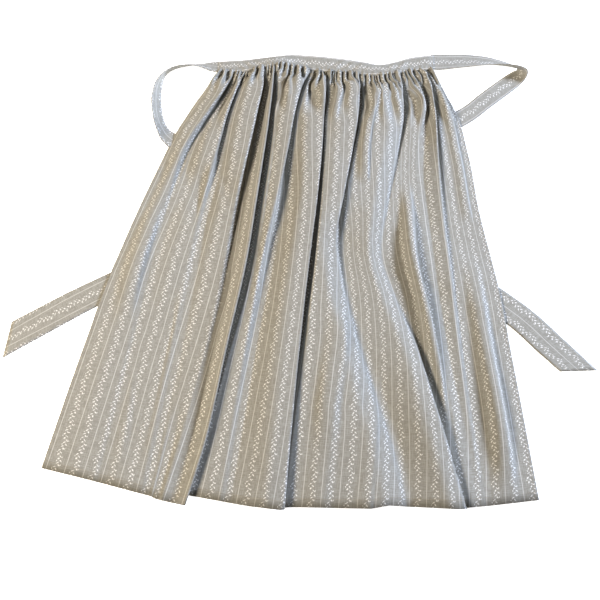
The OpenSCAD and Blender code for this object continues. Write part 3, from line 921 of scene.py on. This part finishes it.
        left = np.minimum(off(-0.321, -0.160, 0.200, -0.430), off(0.200, -0.430, 0.345, -0.543))
        right = off(0.277, -0.109, -0.450, -0.505)
        one = 0.0022 * ease(1 - (np.minimum(left, right) - 0.026) / 0.03)
        two = 0.0042 * ease(1 - (np.hypot(x + 0.062, y + 0.294) - 0.080) / 0.07)
        return np.maximum(one, two)

    def surface(self, down: np.ndarray) -> tuple[np.ndarray, np.ndarray]:
        """The skirt's middle surface and its cloth coordinates for some rows.

        A row's Y runs from the seam's Y at that place of the cloth to the hem's Y.

        Args:
            down: the shares of the length of the rows.

        Returns:
            Points, rows by columns by 3, and cloth coordinates, rows by columns by 2.
        """
        s, x, z = self.settle(down)
        seam_x = -0.225 + 0.450 * s / self.cut_width
        low, _ = self.band.edge(seam_x)
        hem = np.interp(s, [h * MM for h in self.hem_cloth], [h * MM for h in self.hem_y])
        v = down[:, None]
        y = low[None, :, 1] + 0.0015 + v * (hem - low[:, 1] - 0.0015)[None]
        below = np.maximum(v, 0) * self.cut_length
        heading = 0.45 + 0.55 * ease((v * self.cut_length + 0.006) / 0.008)
        top = (low[None, :, 2] - 0.004) * (1 - ease(below / 0.055))
        lift = self.lift(x, y)
        z = np.maximum(z * heading, 0.0)
        pressed = self.limit + self.limit_room * np.tanh((z - self.limit) / self.limit_room)
        z = np.where(z > self.limit, pressed, z)
        level = self.clearance + lift + z + np.maximum(top, 0)
        pick = np.linspace(0, len(s) - 1, self.columns).round().astype(int)
        points = np.stack([x, y, level], axis=-1)[:, pick]
        cloth = np.stack(np.broadcast_arrays(s, v * self.cut_length), axis=-1)[:, pick]
        return points, cloth

    def build(self, wardrobe: Wardrobe) -> bpy.types.Object:
        """Build the skirt's cloth, from inside the waistband to the hem."""
        points, cloth = self.surface(self.down_shares())
        piece = grid_mesh("skirt_cloth", points, cloth)
        thicken(piece, self.thickness)
        wardrobe.dress(piece, wardrobe.skirt)
        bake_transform(piece)
        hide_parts("skirt_panel", "gathered_heading")
        return piece

    def under(self, points: np.ndarray, drop: float) -> np.ndarray:
        """The surface moved down its own normal by drop, for the turned layers under the edges."""
        normal = np.cross(np.gradient(points, axis=1), np.gradient(points, axis=0))
        normal /= np.maximum(np.linalg.norm(normal, axis=-1, keepdims=True), 1e-9)
        normal *= np.sign(np.median(normal[..., 2]))
        return points - normal * drop

    def hem(self, wardrobe: Wardrobe) -> list[bpy.types.Object]:
        """Turn up the bottom hem and the two narrow side hems, just under the skirt's surface."""
        made = []
        tall = 0.018 / self.cut_length
        down = np.linspace(1 - tall, 1, 5)
        points, cloth = self.surface(down)
        self.hem_line = points[1], self.under(points, -1.0)[1] - points[1]
        piece = grid_mesh("bottom_hem_turning", self.under(points, 0.0009), cloth)
        made.append((piece, "bottom_hem"))
        down = self.down_shares()
        down = down[down >= 0]
        for name, keep in (("left_side_hem", slice(0, 5)), ("right_side_hem", slice(-5, None))):
            points, cloth = self.surface(down)
            turned = self.under(points, 0.0009)[:, keep]
            piece = grid_mesh(f"{name}_turning", turned, cloth[:, keep])
            made.append((piece, name))
        for piece, node in made:
            thicken(piece, 0.0007)
            wardrobe.dress(piece, wardrobe.inside)
            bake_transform(piece)
            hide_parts(node)
        return [piece for piece, _ in made]

    def hem_stitches(self, wardrobe: Wardrobe) -> list[bpy.types.Object]:
        """Sew the hems with small stitches in thread of the cloth's own colour."""
        path, up = self.hem_line
        bottom = stitches_along("bottom_hem_stitches", path + up * 0.0004, up, 0.0034, 0.0004)
        points, _ = self.surface(self.down_shares()[8:])
        up = self.under(points, -1.0) - points
        rows = [stitches_along(f"{side}_hem_stitches", points[:, at] + up[:, at] * 0.0004,
                               up[:, at], 0.0034, 0.0004) for side, at in (("left", 3), ("right", -4))]
        for piece, nodes in ((bottom, ("bottom_hem_stitching",)),
                             *((row, ("side_hem_stitching",)) for row in rows)):
            wardrobe.dress(piece, wardrobe.matching)
            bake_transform(piece)
            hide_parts(*nodes)
        return [bottom, *rows]


# ---------------------------------------------------------------- ties


@dataclass(frozen=True)
class TieShape:
    """One tie from the waistband to its free end, as its two edges.

    `first` and `second` are the edges' points in millimetres, one pair for each station, and `curl`
    how far the middle of the tie bulges off the flat between them. `cut` is the station where its
    upper stretch ends and its lower stretch begins.
    """

    name: str
    first: tuple
    second: tuple
    curl: tuple
    cut: int


LEFT_TIE = TieShape(
    "left_tie",
    first=((-222, 26, 3.8), (-240, 26, 2.5), (-262, 23, 1.2), (-284, 19, 1), (-306, 14, 1),
           (-324, 6, 1), (-334, -4, 1), (-340, -20, 1), (-342, -48, 1), (-340, -80, 1),
           (-334, -112, 1), (-322, -138, 1), (-304, -152, 1), (-272, -164, 0.9),
           (-181, -210, 0.9), (-50, -277, 0.9), (82, -344, 0.9), (214, -411, 0.9),
           (292, -468, 0.9), (364, -526, 0.9), (417, -583, 0.9), (468, -639, 0.9)),
    second=((-222, -9, 14), (-240, -9, 18), (-258, -6, 25), (-278, -5, 31), (-300, -8, 34),
            (-318, -14, 34), (-332, -24, 34), (-342, -36, 33), (-350, -54, 31), (-354, -84, 29),
            (-350, -116, 28), (-342, -148, 25), (-328, -176, 13), (-290, -202, 1.5),
            (-200, -246, 0.9), (-70, -313, 0.9), (60, -382, 0.9), (187, -449, 0.9),
            (258, -504, 0.9), (325, -560, 0.9), (364, -602, 0.9), (402, -641, 0.9)),
    curl=(0, 1, 2, 2, 2, 2, 2, 2, 3, 2, 2, 1, 0.5, 0, 0, 0, 0, 0, 0, 0, 0, 0), cut=15)

RIGHT_TIE = TieShape(
    "right_tie",
    first=((222, 44, 3.8), (240, 45.5, 2.5), (285, 47, 1.2), (331, 43, 1), (366, 33, 1),
           (390, 22, 1), (401, 13, 1.2), (400, 6, 1.5), (390, 1, 1.5), (363, -18, 1.2),
           (318, -54, 1), (273, -91, 0.9), (180, -142, 0.9), (60, -206, 0.9), (-40, -259, 2.7),
           (-90, -286, 2.7), (-200, -345, 1.0), (-330, -413, 0.9), (-463, -483, 0.9),
           (-520, -516, 0.9), (-575, -549, 0.9)),
    second=((222, 6, 5), (240, 4, 6), (287, 7, 10), (330, 7, 17), (366, 3, 24), (392, -4, 29),
            (410, -12, 28), (414, -20, 19), (405, -31, 6), (384, -48, 1.5), (337, -86, 1),
            (284, -128, 0.9), (196, -174, 0.9), (78, -239, 0.9), (-20, -293, 2.7),
            (-70, -320, 2.7), (-178, -379, 1.0), (-305, -449, 0.9), (-437, -527, 0.9),
            (-510, -572, 0.9), (-581, -616, 0.9)),
    curl=(0, 1, 3, 5, 6, 5, 3, 2, 1.5, 1, 0.5, 0, 0, 0, 0, 0, 0, 0, 0, 0, 0), cut=13)


@dataclass
class Tie:
    """A long strip folded double and seamed, sewn into one end of the waistband."""

    shape: TieShape
    loop_body: str
    end_body: str
    loop_nodes: tuple[str, ...]
    end_nodes: tuple[str, ...]
    thickness: float = 0.0013

    def surface(self, first: int, last: int, fine: int) -> tuple[np.ndarray, np.ndarray]:
        """The tie's middle surface from one station to another.

        Both edges are smooth curves through their stations. A point at share c across lies on the
        straight line between them, raised along the surface's normal by the curl times 4c(1 - c).

        Args:
            first: the first station.
            last: the last station.
            fine: steps for each station.

        Returns:
            The points and the cloth coordinates.
        """
        shape = self.shape
        stations = list(range(len(shape.first)))
        dense = np.linspace(0, len(stations) - 1, (len(stations) - 1) * fine + 1)
        a = through(stations, [tuple(c * MM for c in p) for p in shape.first], dense)
        b = through(stations, [tuple(c * MM for c in p) for p in shape.second], dense)
        curl = through(stations, [c * MM for c in shape.curl], dense)
        run = along_path((a + b) / 2)
        c = np.linspace(0, 1, 13)
        flat = a[:, None] + (b - a)[:, None] * c[None, :, None]
        along = np.gradient(flat, axis=0)
        normal = unit(np.cross(along, (b - a)[:, None]))
        points = flat + normal * (curl[:, None] * 4 * (c * (1 - c))[None])[..., None]
        points[..., 2] = np.maximum(points[..., 2], self.thickness / 2 + 0.0001)
        width = np.linalg.norm(b - a, axis=1)
        cloth = np.stack(np.broadcast_arrays((c - 0.5) * width[:, None], run[:, None]), axis=-1)
        keep = (dense >= first - 1e-9) & (dense <= last + 1e-9)
        return points[keep], cloth[keep]

    def size(self, points: np.ndarray) -> tuple[float, float]:
        """The mean width and the length of a stretch."""
        middle = points[:, points.shape[1] // 2]
        length = float(np.linalg.norm(np.diff(middle, axis=0), axis=1).sum())
        width = float(np.linalg.norm(points[:, 0] - points[:, -1], axis=1).mean())
        return width, length

    def build(self, wardrobe: Wardrobe, material: bpy.types.Material) -> list[bpy.types.Object]:
        """Build the tie's upper stretch with its loop, and its lower stretch with its free end."""
        made = []
        joints = {j["child"]: j for j in frame["record"]["behaviour"]["joints"]}
        cut, end = self.shape.cut, len(self.shape.first) - 1
        for part, first, last, body, nodes in (
                ("upper", 0, cut, self.loop_body, self.loop_nodes),
                ("lower", cut, end, self.end_body, self.end_nodes)):
            points, cloth = self.surface(first, last, 9)
            piece = grid_mesh(f"{self.shape.name}_{part}", points, cloth)
            thicken(piece, self.thickness)
            wardrobe.dress(piece, material)
            at, way = Vector(joints[body]["pos_m"]), Vector(joints[body]["axis"])
            out = Vector((way.y, -way.x, 0)).normalized()
            far = Vector(points[-1, 6]) if part == "lower" else Vector(points[6 * 9, 6])
            if (far - at).dot(out) < 0:
                out = -out
            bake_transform(piece)
            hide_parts(*nodes)
            width, length = self.size(points)
            made.append(piece)
        return made


# ---------------------------------------------------------------- studio


@dataclass(frozen=True)
class Studio:
    """A pale floor, soft lights and the camera."""

    eye: tuple[float, float, float] = (-0.055, -0.9075, 1.1003)
    tilt: float = 70.0
    lens: float = 38.4

    def floor(self) -> None:
        """Lay a plain pale floor under the apron."""
        mesh = bpy.data.meshes.new("floor")
        mesh.from_pydata([(-6, -6, 0), (6, -6, 0), (6, 6, 0), (-6, 6, 0)], [], [(0, 1, 2, 3)])
        floor = bpy.data.objects.new("floor", mesh)
        bpy.context.scene.collection.objects.link(floor)
        paint = bpy.data.materials.new("pale floor")
        paint.use_nodes = True
        shader = paint.node_tree.nodes["Principled BSDF"]
        shader.inputs["Base Color"].default_value = (0.93, 0.93, 0.93, 1)
        shader.inputs["Roughness"].default_value = 0.9
        shader.inputs["Specular IOR Level"].default_value = 0.1
        shader.inputs["Emission Color"].default_value = (1, 1, 1, 1)
        shader.inputs["Emission Strength"].default_value = 0.9
        mesh.materials.append(paint)

    def light(self, name: str, place: tuple, aim: tuple, size: float, power: float,
              colour: tuple) -> None:
        """Place one square soft light that faces a point."""
        lamp = bpy.data.lights.new(name, "AREA")
        lamp.shape = "SQUARE"
        lamp.size = size
        lamp.energy = power
        lamp.color = colour
        thing = bpy.data.objects.new(name, lamp)
        thing.location = place
        facing = Vector(aim) - Vector(place)
        thing.rotation_euler = facing.to_track_quat("-Z", "Y").to_euler()
        bpy.context.scene.collection.objects.link(thing)

    def build(self) -> None:
        """Build the floor, the lights, the pale surroundings and the camera."""
        self.floor()
        self.light("cool window", (2.5, 0.2, 1.35), (0, -0.4, 0), 0.7, 160, (0.71, 0.80, 1.0))
        self.light("warm fill", (-2.0, -0.5, 1.7), (0, -0.4, 0), 0.7, 76, (1.0, 0.89, 0.74))
        self.light("soft top", (0.1, -0.2, 2.8), (0, -0.4, 0), 1.0, 3, (1.0, 0.80, 0.55))
        world = bpy.data.worlds.new("studio air")
        world.use_nodes = True
        air = world.node_tree.nodes["Background"]
        air.inputs[0].default_value = (0.95, 0.96, 1.0, 1)
        n = Nodes(world.node_tree)
        seen = n.add("ShaderNodeLightPath").outputs["Is Camera Ray"]
        n.put(n.maths("MULTIPLY_ADD", seen, 0.8, 0.03), air.inputs[1])
        bpy.context.scene.world = world
        bpy.context.scene.view_settings.view_transform = "Standard"
        bpy.context.scene.view_settings.gamma = 0.86
        camera = bpy.data.cameras.new("camera")
        camera.lens = self.lens
        camera.sensor_width = 36.0
        camera.clip_start = 0.01
        view = bpy.data.objects.new("camera", camera)
        lean = Matrix.Rotation(math.radians(90 - self.tilt), 4, "X")
        view.matrix_world = Matrix.Translation(self.eye) @ lean
        bpy.context.scene.collection.objects.link(view)
        bpy.context.scene.camera = view


def main() -> None:
    """Build the whole apron in order and report each piece."""
    logging.basicConfig(level=logging.INFO, format="%(name)s: %(message)s", stream=sys.stdout)
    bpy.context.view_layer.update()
    Studio().build()
    wardrobe = Wardrobe()
    band = Waistband()
    log.info("built %s", band.build(wardrobe).name)
    log.info("sewed %s", band.topstitch(wardrobe).name)
    for side in (-1, 1):
        log.info("sewed %s", band.tie_seam(wardrobe, side).name)
    skirt = Skirt(band)
    piece = skirt.build(wardrobe)
    log.info("built %s", piece.name)
    hems = skirt.hem(wardrobe)
    stitching = skirt.hem_stitches(wardrobe)
    for part in (*hems, *stitching):
        log.info("built %s", part.name)
    ties = (
        (Tie(LEFT_TIE, "left_loop", "left_tie_end",
             ("left_tie_root", "left_tie_outgoing", "left_tie_return"),
             ("left_tie_run", "left_tie_tail")), wardrobe.left_tie),
        (Tie(RIGHT_TIE, "right_loop", "right_tie_end",
             ("right_tie_root", "right_tie_outgoing", "right_tie_return"),
             ("right_tie_run", "right_tie_tail")), wardrobe.right_tie))
    for tie, material in ties:
        for part in tie.build(wardrobe, material):
            log.info("built %s", part.name)
    wardrobe.dress(frame["nodes"]["gathering_threads"], wardrobe.thread)


if __name__ == "__main__":
    main()
